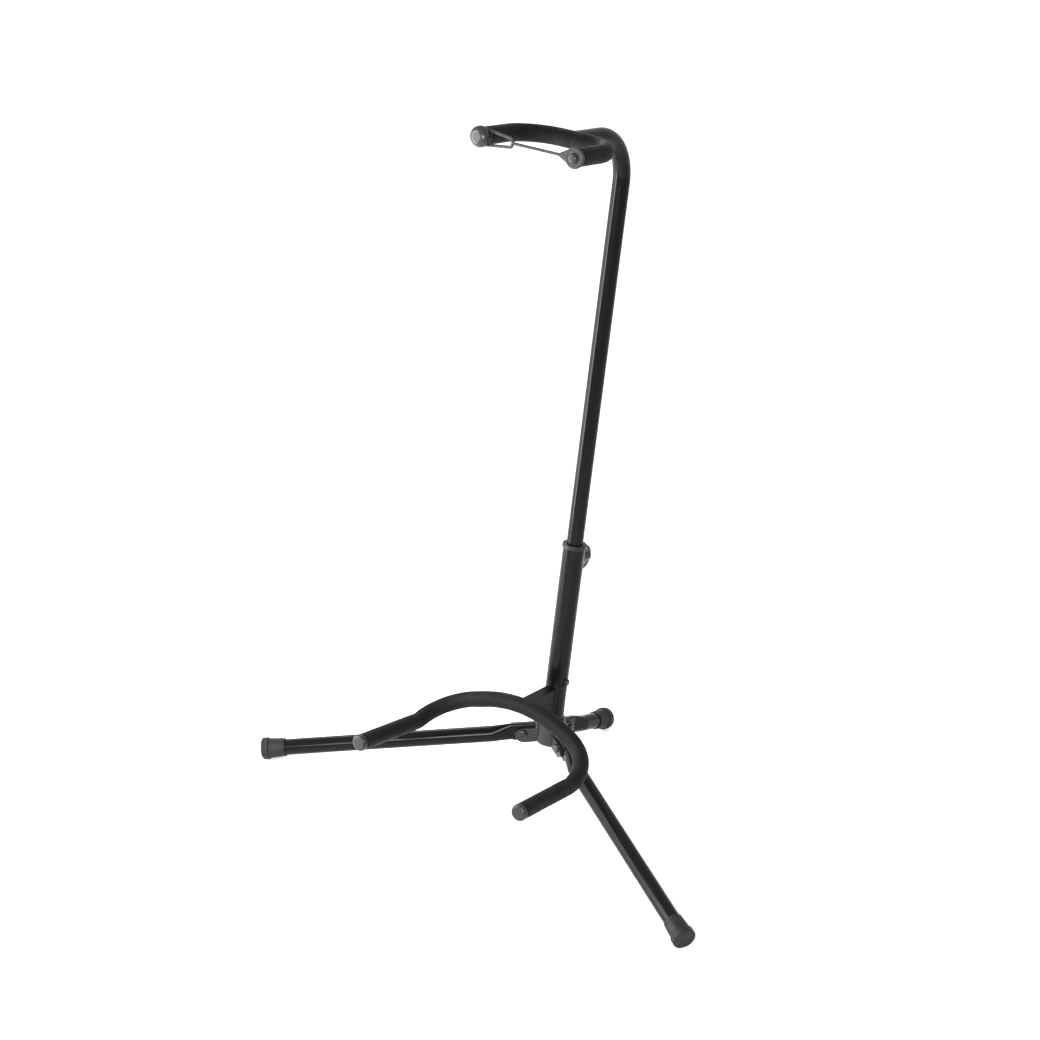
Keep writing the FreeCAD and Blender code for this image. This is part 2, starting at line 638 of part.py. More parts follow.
# ---------------------------------------------------------------- upper mast tube with gooseneck

upper = new_body("upper_tube")
NECK_END = "(yoke_out + bar_od / 2)"
route = new_sketch(upper, "upper_route", "YZ_Plane")
add_path(route, [
    (("0", "upper_bottom"), ("0", "neck_height - neck_radius")),
    (("-neck_radius", "neck_height"), (f"-{NECK_END}", "neck_height")),
])
section = new_sketch(upper, "upper_section", "XY_Plane", lift="upper_bottom")
add_circle(section, UPPER_R)
add_circle(section, f"{UPPER_R} - upper_wall")
sweep(upper, "upper_sweep", section, route)
notch = new_sketch(upper, "upper_notch_sketch", "YZ_Plane")
add_circle(notch, f"{BAR_R} + snug_gap", "-yoke_out", "neck_height")
pocket(upper, "upper_notch", notch, f"4 * {UPPER_R}")
front_cut = new_sketch(upper, "upper_front_sketch", "YZ_Plane")
add_polygon(front_cut, [
    ("-yoke_out", f"neck_height - 2 * {UPPER_R}"),
    (f"-{NECK_END} - bar_od", f"neck_height - 2 * {UPPER_R}"),
    (f"-{NECK_END} - bar_od", f"neck_height + 2 * {UPPER_R}"),
    ("-yoke_out", f"neck_height + 2 * {UPPER_R}"),
])
pocket(upper, "upper_front", front_cut, f"4 * {UPPER_R}")
keep("upper_tube", upper, MAST)

# ---------------------------------------------------------------- yoke

yoke = new_body("yoke_tube")
ARM_IN = "(yoke_half - yoke_radius)"
BEND_OUT = "(yoke_out + yoke_radius)"
u_route = new_sketch(yoke, "yoke_route", "XY_Plane")
add_path(u_route, [
    (("-yoke_half", "-yoke_tip_out"), ("-yoke_half", f"-{BEND_OUT}")),
    ((f"-{ARM_IN}", "-yoke_out"), (ARM_IN, "-yoke_out")),
    (("yoke_half", f"-{BEND_OUT}"), ("yoke_half", "-yoke_tip_out")),
])
u_section = new_sketch(yoke, "yoke_section", "XZ_Plane", lift="yoke_tip_out")
add_circle(u_section, BAR_R, "-yoke_half")
add_circle(u_section, f"{BAR_R} - bar_wall", "-yoke_half")
sweep(yoke, "yoke_sweep", u_section, u_route)
keep("yoke_tube", yoke, YOKE)

for side, sign in (("left", "-"), ("right", "")):
    sleeve = new_body(f"yoke_sleeve_{side}")
    inner = f"({sign}1 * sleeve_seam / 2)"
    run = new_sketch(sleeve, f"yoke_sleeve_{side}_route", "XY_Plane")
    add_path(run, [
        ((f"{sign}1 * yoke_half", "-yoke_tip_out"), (f"{sign}1 * yoke_half", f"-{BEND_OUT}")),
        ((f"{sign}1 * {ARM_IN}", "-yoke_out"), (inner, "-yoke_out")),
    ])
    ring = new_sketch(sleeve, f"yoke_sleeve_{side}_ring", "XZ_Plane", lift="yoke_tip_out")
    add_circle(ring, "foam_od / 2", f"{sign}1 * yoke_half")
    add_circle(ring, f"{BAR_R} + foam_gap", f"{sign}1 * yoke_half")
    sweep(sleeve, f"yoke_sleeve_{side}_sweep", ring, run)
    # Behind the bar the foam is cut out around the end of the gooseneck.
    cutout = new_sketch(sleeve, f"yoke_sleeve_{side}_cutout_sketch", "XY_Plane")
    beside = f"({sign}1 * ({UPPER_R} + sleeve_gap))"
    add_polygon(cutout, [
        (f"-1 * {beside}", f"-(yoke_out + sleeve_gap)"),
        (beside, f"-(yoke_out + sleeve_gap)"),
        (beside, "-(yoke_out - foam_od)"),
        (f"-1 * {beside}", "-(yoke_out - foam_od)"),
    ])
    pocket(sleeve, f"yoke_sleeve_{side}_cutout", cutout, "2 * foam_od")
    keep(f"yoke_sleeve_{side}", sleeve, YOKE)

TIP_FRAME = {side: YOKE * FreeCAD.Placement(V(sign * size("yoke_half"), -size("yoke_tip_out"), 0), FORWARD)
             for side, sign in (("left", -1), ("right", 1))}
STEM_R = f"({BAR_R} - bar_wall - snug_gap)"
NECK_TOP = "(flange_high + neck_pin_long)"
left_plug = new_body("yoke_knob_left")
revolve(left_plug, "yoke_knob_left_turning", [
    ("0", "-cap_plug"),
    (STEM_R, "-cap_plug"),
    (STEM_R, "0"),
    ("foam_od / 2", "0"),
    ("foam_od / 2", "flange_high"),
    ("neck_pin_od / 2", "flange_high"),
    ("neck_pin_od / 2", NECK_TOP),
    ("dome_od / 2", NECK_TOP),
    ("dome_od / 2", f"{NECK_TOP} + dome_high"),
    ("0", f"{NECK_TOP} + dome_high"),
])
round_edges(left_plug, "yoke_knob_left_dome", "dome_high * 0.85",
            rim("dome_od / 2", f"{NECK_TOP} + dome_high"))
keep("yoke_knob_left", left_plug, TIP_FRAME["left"])

STRAP_FACE = "(flange_high + side_gap)"
PIN_TOP = f"({STRAP_FACE} + strap_thick + side_gap)"
right_plug = new_body("yoke_button_right")
revolve(right_plug, "yoke_button_right_turning", [
    ("0", "-cap_plug"),
    (STEM_R, "-cap_plug"),
    (STEM_R, "0"),
    ("foam_od / 2", "0"),
    ("foam_od / 2", "flange_high"),
    ("strap_pin_od / 2", "flange_high"),
    ("strap_pin_od / 2", PIN_TOP),
    ("button_od / 2", PIN_TOP),
    ("button_od / 2", f"{PIN_TOP} + button_high"),
    ("0", f"{PIN_TOP} + button_high"),
])
round_edges(right_plug, "yoke_button_right_dome", "button_high * 0.8",
            rim("button_od / 2", f"{PIN_TOP} + button_high"))
keep("yoke_button_right", right_plug, TIP_FRAME["right"])

# ---------------------------------------------------------------- cradle

def mast_point(half, out, up):
    """Point of the mast frame from its distance to the side, forward and up."""
    return V(half, -out, up)


def rounded_path(corners, radii):
    """Wire through corners, each inner one rounded with its own radius."""
    edges = []
    last = corners[0]
    for before, corner, after, radius in zip(corners, corners[1:], corners[2:], radii):
        back = (before - corner).normalize()
        ahead = (after - corner).normalize()
        half = back.getAngle(ahead) / 2
        reach = radius / math.tan(half)
        start = corner + back * reach
        end = corner + ahead * reach
        middle = corner + (back + ahead).normalize() * radius * (1 / math.sin(half) - 1)
        edges.append(Part.LineSegment(last, start).toShape())
        edges.append(Part.Arc(start, middle, end).toShape())
        last = end
    edges.append(Part.LineSegment(last, corners[-1]).toShape())
    return Part.Wire(edges)


def tube_along(wire, outer, inner):
    """Solid tube along a wire."""
    start = wire.Edges[0]
    ahead = start.tangentAt(start.FirstParameter)
    place = start.valueAt(start.FirstParameter)
    walls = [wire.makePipeShell([Part.Wire(Part.makeCircle(radius, place, ahead))], True, True)
             for radius in (outer, inner)]
    return walls[0].cut(walls[1])


arch_angle = math.radians(size("arch_slope"))
arch_lean = math.radians(size("arch_lean"))
arch_radius = size("arch_radius")
down = V(0, -math.sin(arch_lean), -math.cos(arch_lean))
bar_middle = mast_point(0, size("cradle_out"), size("cradle_up"))
peak = bar_middle - down * arch_radius * (1 / math.cos(arch_angle) - 1)
shoulder = peak + V(1, 0, 0) * size("shoulder_half") + down * size("shoulder_half") * math.tan(arch_angle)
arm_root = mast_point(size("arm_root_half"), size("arm_root_out"), size("arm_root_up"))
arm_tip = mast_point(size("arm_tip_half"), size("arm_tip_out"), size("arm_tip_up"))


def mirrored(point):
    return V(-point.x, point.y, point.z)


right_half = [shoulder, arm_root, arm_tip]
cradle_corners = [mirrored(corner) for corner in reversed(right_half)] + [peak] + right_half
cradle_radii = [size("arm_root_radius"), size("shoulder_radius"), arch_radius]
cradle_radii = cradle_radii + cradle_radii[1::-1]
cradle_wire = rounded_path(cradle_corners, cradle_radii)
bar_r = size(BAR_R)

cradle = doc.addObject("Part::Feature", "cradle_tube")
cradle.Shape = tube_along(cradle_wire, bar_r, bar_r - size("bar_wall"))
keep("cradle_tube", cradle, MAST)

foam = tube_along(cradle_wire, size("foam_od / 2"), bar_r + size("foam_gap"))
wide = 2 * size("arm_tip_half")
deep = 2 * size("arm_tip_out")
seam = size("sleeve_seam / 2")
# Behind the bar and below its top the foam is cut out around the bracket.
cutout_wide = size("bracket_wide + 2 * sleeve_gap")
cutout_front = size("cradle_out + sleeve_gap")
cutout_top = size("cradle_up + bar_od / 2 + sleeve_gap")
cutout = Part.makeBox(cutout_wide, cutout_front, 2 * deep,
                      V(-cutout_wide / 2, -cutout_front, cutout_top - 2 * deep))
for side, corner in (("left", -seam - wide), ("right", seam)):
    half_space = Part.makeBox(wide, 2 * deep, 2 * deep, V(corner, -deep, -deep))
    sleeve = doc.addObject("Part::Feature", f"cradle_sleeve_{side}")
    sleeve.Shape = foam.common(half_space).cut(cutout)
    keep(f"cradle_sleeve_{side}", sleeve, MAST)

for side, tip, root in (("left", mirrored(arm_tip), mirrored(arm_root)), ("right", arm_tip, arm_root)):
    cap = new_body(f"cradle_cap_{side}")
    revolve(cap, f"cradle_cap_{side}_turning", [
        ("0", "-cap_plug"),
        (STEM_R, "-cap_plug"),
        (STEM_R, "0"),
        ("foam_od / 2", "0"),
        ("foam_od / 2", "cap_long"),
        ("0", "cap_long"),
    ])
    round_edges(cap, f"cradle_cap_{side}_round", "cap_long * 0.7", rim("foam_od / 2", "cap_long"))
    ahead = (tip - root).normalize()
    turn = FreeCAD.Rotation(V(1, 0, 0), V(0, 0, 0), ahead, "ZXY")
    keep(f"cradle_cap_{side}", cap, MAST * FreeCAD.Placement(tip, turn))

bracket = new_body("cradle_bracket")
BAR_TOP = f"(cradle_up + {BAR_R})"
cheek = new_sketch(bracket, "bracket_side_sketch", "YZ_Plane")
BRACKET_SIDE = [
    ("0", "bracket_foot"),
    (f"-(cradle_out - {BAR_R} / 2)", f"cradle_up - {BAR_R}"),
    ("-cradle_out", f"cradle_up - {BAR_R} / 2"),
    ("-cradle_out", BAR_TOP),
    ("0", BAR_TOP),
]
add_polygon(cheek, BRACKET_SIDE)
pad(bracket, "bracket_block", cheek, "bracket_wide", midplane=True)
hollow = new_sketch(bracket, "bracket_hollow_sketch", "YZ_Plane")
add_polygon(hollow, [
    ("0", "0"),
    ("-2 * cradle_out", "0"),
    ("-2 * cradle_out", f"{BAR_TOP} - bracket_wall"),
    ("0", f"{BAR_TOP} - bracket_wall"),
])
pocket(bracket, "bracket_hollow", hollow, "bracket_wide - 2 * bracket_wall")
mast_saddle = new_sketch(bracket, "bracket_mast_sketch", "XY_Plane")
add_circle(mast_saddle, "lower_od / 2 + snug_gap")
pocket(bracket, "bracket_mast_saddle", mast_saddle, "4 * cradle_up")
bar_saddle = new_sketch(bracket, "bracket_bar_sketch", "YZ_Plane")
add_circle(bar_saddle, f"{BAR_R} + bar_seat_gap", "-cradle_out", "cradle_up")
pocket(bracket, "bracket_bar_saddle", bar_saddle, "2 * bracket_wide")
keep("cradle_bracket", bracket, MAST)

# ---------------------------------------------------------------- neck strap

# Flat moulded strap in the plane of the yoke's ends: its own X runs from the left knob to the
# right button and its Y points up the mast.
strap = new_body("neck_strap")
GAP = "(2 * yoke_half)"
eyelet = new_sketch(strap, "strap_eyelet_sketch", "XY_Plane")
add_circle(eyelet, "eyelet_od / 2", GAP, "0")
pad(strap, "strap_eyelet", eyelet, "strap_thick")
taper = new_sketch(strap, "strap_taper_sketch", "XY_Plane")
add_polygon(taper, [
    (f"{GAP} - taper_long", "-cord_wide / 2"),
    (f"{GAP} - eyelet_od * 0.2", "-eyelet_od * 0.44"),
    (f"{GAP} - eyelet_od * 0.2", "eyelet_od * 0.44"),
    (f"{GAP} - taper_long", "cord_wide / 2"),
])
pad(strap, "strap_taper", taper, "strap_thick")
cord = new_sketch(strap, "strap_cord_sketch", "XY_Plane")
add_polygon(cord, [
    ("loop_inner", "-cord_wide / 2"),
    (GAP, "-cord_wide / 2"),
    (GAP, "cord_wide / 2"),
    ("loop_inner", "cord_wide / 2"),
])
pad(strap, "strap_cord", cord, "strap_thick")
LOOP_OUTER = "(loop_half + cord_wide / 2)"
head = new_sketch(strap, "loop_head_sketch", "XY_Plane")
add_circle(head, LOOP_OUTER)
pad(strap, "loop_head", head, "strap_thick")
tail = new_sketch(strap, "loop_tail_sketch", "XY_Plane")
add_polygon(tail, [
    ("0", f"-{LOOP_OUTER}"),
    ("loop_inner", "-(loop_tail_half + cord_wide / 2)"),
    ("loop_inner + cord_wide / 2", "-loop_tail_half * 0.6"),
    ("loop_inner + cord_wide / 2", "loop_tail_half * 0.6"),
    ("loop_inner", "loop_tail_half + cord_wide / 2"),
    ("0", LOOP_OUTER),
])
pad(strap, "loop_tail", tail, "strap_thick")
LOOP_BORE = "(loop_half - cord_wide / 2)"
window = new_sketch(strap, "loop_window_sketch", "XY_Plane")
add_polygon(window, [
    ("0", f"-{LOOP_BORE}"),
    ("loop_inner - cord_wide", "-(loop_tail_half - cord_wide / 2)"),
    ("loop_inner - cord_wide / 2", "-loop_tail_half * 0.3"),
    ("loop_inner - cord_wide / 2", "loop_tail_half * 0.3"),
    ("loop_inner - cord_wide", "loop_tail_half - cord_wide / 2"),
    ("0", LOOP_BORE),
])
pocket(strap, "loop_window", window, "4 * strap_thick")
bore = new_sketch(strap, "loop_bore_sketch", "XY_Plane")
add_circle(bore, LOOP_BORE)
pocket(strap, "loop_bore", bore, "4 * strap_thick")
pin_eye = new_sketch(strap, "strap_pin_sketch", "XY_Plane")
add_circle(pin_eye, "strap_pin_od / 2 + side_gap", GAP, "0")
pocket(strap, "strap_pin_eye", pin_eye, "4 * strap_thick")
strap_seat = FreeCAD.Placement(V(0, 0, size(STRAP_FACE)), FreeCAD.Rotation())
keep("neck_strap", strap, TIP_FRAME["left"] * strap_seat)

# ---------------------------------------------------------------- check, centre and write

doc.recompute()
for obj in doc.Objects:
    if "Invalid" in obj.State or "Error" in obj.State:
        raise ValueError(f"{obj.Name} failed: {obj.State}")

outline = FreeCAD.BoundBox()
for obj in pieces.values():
    outline.add(obj.Shape.optimalBoundingBox())
shift = FreeCAD.Placement(V(-outline.Center.x, -outline.Center.y, 0), FreeCAD.Rotation())
for obj in pieces.values():
    obj.Placement = shift * obj.Placement
doc.recompute()

os.makedirs("parts", exist_ok=True)
for label, obj in pieces.items():
    shape = obj.Shape
    if shape.isNull() or not shape.isValid() or len(shape.Solids) != 1:
        raise ValueError(f"{label} is not one valid solid")
    shape.exportStep(f"parts/{label}.step")
    box = shape.optimalBoundingBox()
    print(f"{label:20s} {shape.Volume / 1000:8.2f} cm3", end="  ")
    print(f"z {box.ZMin:7.2f} {box.ZMax:7.2f}   y {box.YMin:7.2f} {box.YMax:7.2f}")
print(f"{len(pieces)} pieces, shifted {shift.Base.y:.3f} in y", end=", ")
print(f"size {outline.XLength:.1f} {outline.YLength:.1f} {outline.ZLength:.1f}")
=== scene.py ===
import math

import bmesh
import bpy
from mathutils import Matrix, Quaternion, Vector, noise


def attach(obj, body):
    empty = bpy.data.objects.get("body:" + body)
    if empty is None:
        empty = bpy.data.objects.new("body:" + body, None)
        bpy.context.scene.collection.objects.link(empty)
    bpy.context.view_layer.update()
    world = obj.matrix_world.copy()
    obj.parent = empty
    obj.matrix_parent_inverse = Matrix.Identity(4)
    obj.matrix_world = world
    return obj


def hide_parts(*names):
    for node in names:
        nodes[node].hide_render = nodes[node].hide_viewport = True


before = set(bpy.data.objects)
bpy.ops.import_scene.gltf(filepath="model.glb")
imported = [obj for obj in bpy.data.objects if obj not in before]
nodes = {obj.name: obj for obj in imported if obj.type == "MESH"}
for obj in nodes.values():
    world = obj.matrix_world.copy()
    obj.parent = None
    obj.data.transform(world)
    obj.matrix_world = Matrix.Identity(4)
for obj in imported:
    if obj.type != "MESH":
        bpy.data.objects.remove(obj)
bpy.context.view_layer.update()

# ------------------------------------------------------------------ the stand's own frame

MM = 0.001
TILT = math.radians(10.9)           # the mast leans back
PLAN_SHIFT = 42.477 * MM            # the mast's foot stands behind the middle of the plan
HUB_HEIGHT = 58.6 * MM
HUB = Vector((0, PLAN_SHIFT, HUB_HEIGHT))
SIDE = Vector((1, 0, 0))
FORWARD = Vector((0, -math.cos(TILT), math.sin(TILT)))
UP_MAST = Vector((0, math.sin(TILT), math.cos(TILT)))


def mast_point(side, out, up):
    """Point given in millimetres to the side, forward of the mast axis and up the mast."""
    return HUB + (SIDE * side + FORWARD * out + UP_MAST * up) * MM


# ------------------------------------------------------------------ camera

AZIMUTH, ELEVATION, DISTANCE = math.radians(35.8), math.radians(29.1), 2.3272
TARGET = Vector((-0.0438, PLAN_SHIFT, 0.3218))
BACK = Vector((math.sin(AZIMUTH) * math.cos(ELEVATION),
               -math.cos(AZIMUTH) * math.cos(ELEVATION),
               math.sin(ELEVATION)))
camera_data = bpy.data.cameras.new("camera")
camera_data.lens = 72.88
camera_data.sensor_width = 36
camera_data.clip_end = 60
camera = bpy.data.objects.new("camera", camera_data)
bpy.context.scene.collection.objects.link(camera)
camera.location = TARGET + BACK * DISTANCE
camera.rotation_euler = (-BACK).to_track_quat("-Z", "Y").to_euler()
bpy.context.scene.camera = camera


# ------------------------------------------------------------------ materials

def grey(value, blue=1.0):
    """Neutral colour, its blue a little stronger where the surface is cool."""
    return (value, value, value * blue)


class Nodes:
    """Short spelling for building one material's node tree."""

    def __init__(self, name, roughness, metallic=0.0, **constants):
        self.material = bpy.data.materials.new(name)
        self.material.use_nodes = True
        self.tree = self.material.node_tree
        self.shader = self.tree.nodes["Principled BSDF"]
        self.shader.inputs["Roughness"].default_value = roughness
        self.shader.inputs["Metallic"].default_value = metallic
        for key, value in constants.items():
            self.shader.inputs[key.replace("_", " ")].default_value = value
        self.place = self.add("ShaderNodeTexCoord").outputs["Object"]
        self.bump_chain = None

    def add(self, kind, **settings):
        node = self.tree.nodes.new(kind)
        for key, value in settings.items():
            setattr(node, key, value)
        return node

    def link(self, source, target):
        self.tree.links.new(source, target)

    def noise(self, scale, detail=4.0, roughness=0.55):
        """Noise of `scale` cells to the metre."""
        texture = self.add("ShaderNodeTexNoise")
        texture.inputs["Scale"].default_value = scale
        texture.inputs["Detail"].default_value = detail
        texture.inputs["Roughness"].default_value = roughness
        self.link(self.place, texture.inputs["Vector"])
        return texture.outputs["Fac"]

    def cells(self, scale):
        """Distance to the nearest of `scale` pores to the metre."""
        texture = self.add("ShaderNodeTexVoronoi", feature="F1")
        texture.inputs["Scale"].default_value = scale
        self.link(self.place, texture.inputs["Vector"])
        return texture.outputs["Distance"]

    def remap(self, source, low, high, out_low, out_high):
        """Stretch the range low..high to out_low..out_high, clamped at its ends."""
        ramp = self.add("ShaderNodeMapRange")
        for key, value in (("From Min", low), ("From Max", high),
                           ("To Min", out_low), ("To Max", out_high)):
            ramp.inputs[key].default_value = value
        self.link(source, ramp.inputs["Value"])
        return ramp.outputs["Result"]

    def blend(self, factor, first, second):
        """Mix of two colours, each a tuple or another node's output."""
        mix = self.add("ShaderNodeMix", data_type="RGBA")
        self.link(factor, mix.inputs["Factor"])
        colour_sockets = mix.inputs[6], mix.inputs[7]
        for socket, value in zip(colour_sockets, (first, second)):
            if isinstance(value, tuple):
                socket.default_value = (*value, 1)
            else:
                self.link(value, socket)
        return mix.outputs[2]

    def colour(self, source):
        self.link(source, self.shader.inputs["Base Color"])

    def rough(self, source):
        self.link(source, self.shader.inputs["Roughness"])

    def bump(self, source, height, strength=1.0):
        """Raise the surface by up to `height` metres where source is 1."""
        node = self.add("ShaderNodeBump")
        node.inputs["Strength"].default_value = strength
        node.inputs["Distance"].default_value = height
        self.link(source, node.inputs["Height"])
        if self.bump_chain is not None:
            self.link(self.bump_chain, node.inputs["Normal"])
        self.bump_chain = node.outputs["Normal"]
        self.link(self.bump_chain, self.shader.inputs["Normal"])


def edges_worn(build, width, amount):
    """Mask of the worn edges: where a rounded normal departs from the true one."""
    bevel = build.add("ShaderNodeBevel", samples=4)
    bevel.inputs["Radius"].default_value = width
    plain = build.add("ShaderNodeNewGeometry")
    dot = build.add("ShaderNodeVectorMath", operation="DOT_PRODUCT")
    build.link(bevel.outputs["Normal"], dot.inputs[0])
    build.link(plain.outputs["Normal"], dot.inputs[1])
    edge = build.remap(dot.outputs["Value"], 0.999, 0.93, 0.0, 1.0)
    patches = build.remap(build.noise(900), 0.48, 0.62, 0.0, amount)
    both = build.add("ShaderNodeMath", operation="MULTIPLY")
    build.link(edge, both.inputs[0])
    build.link(patches, both.inputs[1])
    return both.outputs[0]


def paint(name, roughness=0.19, tint=0.002, gloss=0.11):
    """Baked black enamel on steel: glossy, faint flow marks, edges rubbed a little."""
    build = Nodes(name, roughness, Specular_IOR_Level=gloss)
    tone = build.remap(build.noise(9, detail=3), 0.3, 0.7, 0.0, 1.0)
    base = build.blend(tone, (tint * 0.8, tint * 0.8, tint * 0.85),
                       (tint * 1.35, tint * 1.35, tint * 1.4))
    worn = edges_worn(build, 0.0006, 0.3)
    build.colour(build.blend(worn, base, (0.07, 0.07, 0.073)))
    marks = build.noise(45, detail=5, roughness=0.65)
    build.rough(build.remap(marks, 0.35, 0.75, roughness * 0.85, roughness * 1.3))
    build.bump(build.noise(260, detail=2), 0.000012)
    return build.material


def foam(name):
    """Closed-cell foam sleeve: satin skin, finely pored, with painted shade in the pores."""
    build = Nodes(name, 0.56, Specular_IOR_Level=0.1)
    tone = build.remap(build.noise(38, detail=5, roughness=0.65), 0.32, 0.68, 0.0, 1.0)
    base = build.blend(tone, (0.002, 0.002, 0.0021), (0.0042, 0.0042, 0.0044))
    # Painted shade: the pores' colour darkens towards their middles, where the bump below sinks
    # them.
    pits_and_painted_shade = build.remap(build.cells(1500), 0.05, 0.42, 0.0, 1.0)
    build.colour(build.blend(pits_and_painted_shade, (0.0012, 0.0012, 0.0013), base))
    build.rough(build.remap(build.noise(120), 0.3, 0.7, 0.55, 0.72))
    build.bump(pits_and_painted_shade, 0.00005, 0.6)
    build.bump(build.noise(260, detail=5, roughness=0.6), 0.00011, 0.6)
    return build.material


def rubber(name, dark, light, roughness):
    """Moulded rubber: fine texture from the mould, pale bloom and a little floor dust."""
    build = Nodes(name, roughness, Specular_IOR_Level=0.18)
    tone = build.remap(build.noise(60, detail=5), 0.32, 0.68, 0.0, 1.0)
    base = build.blend(tone, grey(dark, 1.03), grey(light, 1.02))
    bloom = build.remap(build.noise(210, detail=6, roughness=0.7), 0.55, 0.8, 0.0, 0.35)
    build.colour(build.blend(bloom, base, (light * 2.2, light * 2.2, light * 2.15)))
    build.rough(build.remap(build.noise(150), 0.3, 0.7, roughness * 0.85, roughness * 1.2))
    build.bump(build.cells(2300), 0.00003, 0.6)
    build.bump(build.noise(700, detail=3), 0.00003, 0.7)
    return build.material


def plastic(name, dark, light, roughness, grain):
    """Moulded plastic with an even spark-eroded grain."""
    build = Nodes(name, roughness, Specular_IOR_Level=0.25)
    tone = build.remap(build.noise(80, detail=4), 0.3, 0.7, 0.0, 1.0)
    base = build.blend(tone, grey(dark, 1.02), grey(light, 1.02))
    worn = edges_worn(build, 0.0005, 0.35)
    build.colour(build.blend(worn, base, grey(light * 2.4)))
    build.rough(build.remap(build.noise(320), 0.3, 0.7, roughness * 0.85, roughness * 1.2))
    build.bump(build.noise(2600, detail=3), grain)
    return build.material


def rivet_steel(name):
    """Blackened steel rivet, brighter where the setting tool has rubbed it."""
    build = Nodes(name, 0.34, metallic=1.0)
    rubbed = build.remap(build.noise(420, detail=5, roughness=0.6), 0.42, 0.66, 0.0, 1.0)
    base = build.blend(rubbed, (0.02, 0.02, 0.0205), (0.06, 0.06, 0.061))
    worn = edges_worn(build, 0.0008, 0.8)
    build.colour(build.blend(worn, base, (0.22, 0.22, 0.22)))
    build.rough(build.remap(build.noise(500), 0.3, 0.7, 0.26, 0.45))
    build.bump(build.noise(1500, detail=4), 0.00002)
    return build.material


MATERIALS = {
    "tube": paint("black_enamel"),
    # Painted shade: a darker, less glossy copy of the black enamel, so that the bracket's
    # upward-facing top doesn't show the sky's reflection.
    "bracket": paint("black_enamel_satin_painted_shade", roughness=0.3, tint=0.0015, gloss=0.05),
    "casting": paint("black_casting", roughness=0.33, tint=0.009, gloss=0.3),
    "foam": foam("foam_sleeve"),
    "foot": rubber("foot_rubber", 0.004, 0.007, 0.55),
    "strap": rubber("strap_rubber", 0.014, 0.02, 0.5),
    "bush": plastic("collar_plastic", 0.004, 0.007, 0.4, 0.00002),
    "knob": plastic("knob_plastic", 0.006, 0.01, 0.34, 0.00002),
    "cap": plastic("cap_plastic", 0.007, 0.012, 0.36, 0.00001),
    "button": plastic("button_plastic", 0.012, 0.018, 0.28, 0.00001),
    "rivet": rivet_steel("rivet_steel"),
}

FINISH = {
    "tube": ("lower_tube", "upper_tube", "yoke_tube", "cradle_tube",
             "leg_left", "leg_right", "leg_rear"),
    "bracket": ("cradle_bracket",),
    "casting": ("hub", "clamp_nut"),
    "foot": ("foot_left", "foot_right", "foot_rear"),
    "bush": ("collar_bush", "tube_guide"),
    "knob": ("clamp_knob",),
    "cap": ("cradle_cap_left", "cradle_cap_right"),
    "button": ("yoke_knob_left", "yoke_button_right"),
    "rivet": ("mast_rivet", "leg_rivet_left", "leg_rivet_right", "leg_rivet_rear",
              "clamp_screw"),
}
for finish, names in FINISH.items():
    for name in names:
        mesh = nodes[name].data
        mesh.materials.clear()
        mesh.materials.append(MATERIALS[finish])


# ------------------------------------------------------------------ mesh helpers

def place_mesh(name, shape):
    """Put a bmesh into the scene as an object."""
    mesh = bpy.data.meshes.new(name)
    shape.to_mesh(mesh)
    shape.free()
    placed = bpy.data.objects.new(name, mesh)
    bpy.context.scene.collection.objects.link(placed)
    return placed


def join_rings(shape, ring_pairs):
    """Four-sided faces between each pair of vertex rings."""
    for ring, following in ring_pairs:
        count = len(ring)
        for k in range(count):
            ahead = (k + 1) % count
            shape.faces.new((ring[k], following[k], following[ahead], ring[ahead]))


def finish_piece(name, shape, material, body, cad_node):
    """Turn a bmesh into a smooth piece that rides on a body and replaces a CAD node."""
    bmesh.ops.recalc_face_normals(shape, faces=shape.faces)
    for face in shape.faces:
        face.smooth = True
    piece = place_mesh(name, shape)
    piece.data.materials.append(material)
    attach(piece, body)
    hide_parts(cad_node)
    return piece


def mast_box(name, low, high):
    """Scratch box between two corners given in mast_point's millimetres."""
    shape = bmesh.new()
    bmesh.ops.create_cube(shape, size=1)
    for vertex in shape.verts:
        spot = Vector([low[i] if vertex.co[i] < 0 else high[i] for i in range(3)])
        vertex.co = mast_point(*spot)
    bmesh.ops.recalc_face_normals(shape, faces=shape.faces)
    return place_mesh(name, shape)


def cut_away(piece, tool):
    """Take the tool's volume out of the piece for good and drop the tool."""
    modifier = piece.modifiers.new("cut", "BOOLEAN")
    modifier.operation = "DIFFERENCE"
    modifier.solver = "EXACT"
    modifier.object = tool
    graph = bpy.context.evaluated_depsgraph_get()
    whole = piece.data
    piece.data = bpy.data.meshes.new_from_object(piece.evaluated_get(graph))
    piece.modifiers.remove(modifier)
    bpy.data.meshes.remove(whole)
    tool_mesh = tool.data
    bpy.data.objects.remove(tool)
    bpy.data.meshes.remove(tool_mesh)


# ------------------------------------------------------------------ paths of the bent bars

STEP = 2.5 * MM                     # between the points of a path
SEAM = 0.15 * MM                    # half of the gap between the two sleeves of a bar


def rounded_path(corners, radii):
    """Points about STEP apart along a path through corners, each inner one rounded."""
    runs = []
    last = corners[0]
    for before, corner, after, radius in zip(corners, corners[1:], corners[2:], radii):
        back, ahead = (before - corner).normalized(), (after - corner).normalized()
        half = back.angle(ahead) / 2
        reach = radius / math.tan(half)
        start, end = corner + back * reach, corner + ahead * reach
        centre = corner + (back + ahead).normalized() * radius / math.sin(half)
        count = max(2, round((last - start).length / STEP))
        runs += [last.lerp(start, i / count) for i in range(count)]
        turn = math.pi - 2 * half
        axis = (start - centre).cross(end - centre).normalized()
        count = max(4, round(radius * turn / STEP))
        runs += [centre + Quaternion(axis, turn * i / count) @ (start - centre)
                 for i in range(count)]
        last = end
    count = max(2, round((corners[-1] - last).length / STEP))
    runs += [last.lerp(corners[-1], i / count) for i in range(count + 1)]
    return runs


